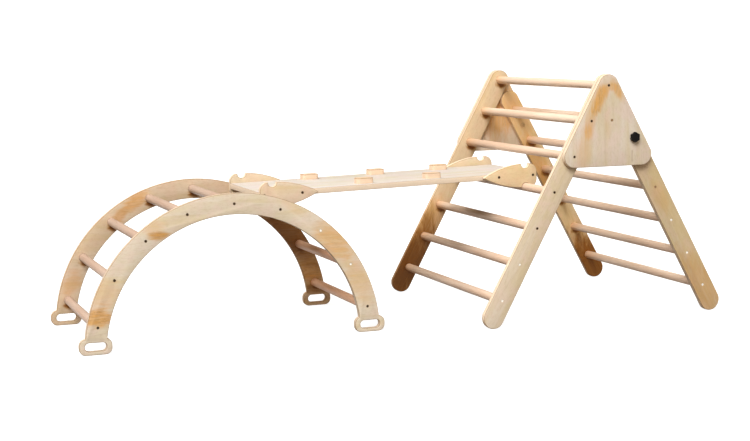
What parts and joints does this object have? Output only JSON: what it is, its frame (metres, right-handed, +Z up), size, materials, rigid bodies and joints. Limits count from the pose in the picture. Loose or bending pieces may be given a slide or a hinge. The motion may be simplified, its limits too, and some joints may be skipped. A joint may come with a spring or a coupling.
{
  "type": "wooden climbing frame",
  "caption": "Nursery climbing set: a folding triangle of two ladders and a rung arch, joined by a climbing board that hooks over a rung of each.",
  "frame": {"origin": "on the floor, under the centre of the whole set's box", "axes": "+X from the rung arch to the triangle, along the climbing board; +Y to the far side; +Z up"},
  "size_m": [2.1552, 0.8822, 0.8095],
  "materials": {
    "birch_ply": "clear satin lacquer on birch plywood",
    "beech": "clear satin lacquer on turned beech",
    "zinc_steel": "zinc plated",
    "black_plastic": "fine moulded texture"
  },
  "bodies": {
    "front_frame": {"front_rail_near": "birch_ply", "front_rail_far": "birch_ply", "front_rung_1": "beech", "front_rung_2": "beech", "front_rung_3": "beech", "front_rung_4": "beech", "front_rung_5": "beech", "front_rung_6": "beech", "front_rung_7": "beech", "gusset_plate_near": "birch_ply", "gusset_plate_far": "birch_ply", "stop_dowel_near": "beech", "stop_dowel_far": "beech", "stop_screw_near": "zinc_steel", "stop_screw_far": "zinc_steel"},
    "rear_ladder": {"rear_rail_near": "birch_ply", "rear_rail_far": "birch_ply", "rear_rung_2": "beech", "rear_rung_3": "beech", "rear_rung_4": "beech", "rear_rung_5": "beech", "rear_rung_6": "beech", "rear_rung_7": "beech", "pivot_insert_near": "zinc_steel", "pivot_insert_far": "zinc_steel"},
    "knob_near": {"pivot_knob_near": "black_plastic", "pivot_stud_near": "zinc_steel"},
    "knob_far": {"pivot_knob_far": "black_plastic", "pivot_stud_far": "zinc_steel"},
    "board": {"board_panel": "birch_ply", "hook_cheek_ladder_near": "birch_ply", "hook_cheek_ladder_far": "birch_ply", "hook_cheek_arch_near": "birch_ply", "hook_cheek_arch_far": "birch_ply", "cheek_screw_ladder_near_1": "zinc_steel", "cheek_screw_ladder_near_2": "zinc_steel", "cheek_screw_ladder_far_1": "zinc_steel", "cheek_screw_ladder_far_2": "zinc_steel", "cheek_screw_arch_near_1": "zinc_steel", "cheek_screw_arch_near_2": "zinc_steel", "cheek_screw_arch_far_1": "zinc_steel", "cheek_screw_arch_far_2": "zinc_steel", "climbing_block_1": "birch_ply", "climbing_block_2": "birch_ply", "climbing_block_3": "birch_ply", "climbing_block_4": "birch_ply", "climbing_block_5": "birch_ply"},
    "arch": {"arch_panel_near": "birch_ply", "arch_panel_far": "birch_ply", "arch_rung_1": "beech", "arch_rung_2": "beech", "arch_rung_3": "beech", "arch_rung_4": "beech", "arch_rung_5": "beech", "arch_rung_6": "beech", "arch_rung_7": "beech", "arch_rung_8": "beech", "arch_rung_9": "beech"}
  },
  "joints": [
    {"name": "rear_ladder_fold", "type": "hinge", "parent": "front_frame", "child": "rear_ladder", "pos_m": [0.73011, 0, 0.60261], "axis": [0, 1, 0], "range_deg": [0, 57.6]},
    {"name": "knob_near_turn", "type": "hinge", "parent": "front_frame", "child": "knob_near", "pos_m": [0.73011, 0, 0.60261], "axis": [0, 1, 0], "continuous": true},
    {"name": "knob_far_turn", "type": "hinge", "parent": "front_frame", "child": "knob_far", "pos_m": [0.73011, 0, 0.60261], "axis": [0, 1, 0], "continuous": true},
    {"name": "board_lift", "type": "hinge", "parent": "front_frame", "child": "board", "pos_m": [0.44832, 0, 0.43171], "axis": [0, 1, 0], "range_deg": [0, 75]},
    {"name": "arch_sideways", "type": "slide", "parent": "front_frame", "child": "arch", "axis": [0, 1, 0], "range_m": [-0.08, 0.05]}
  ]
}
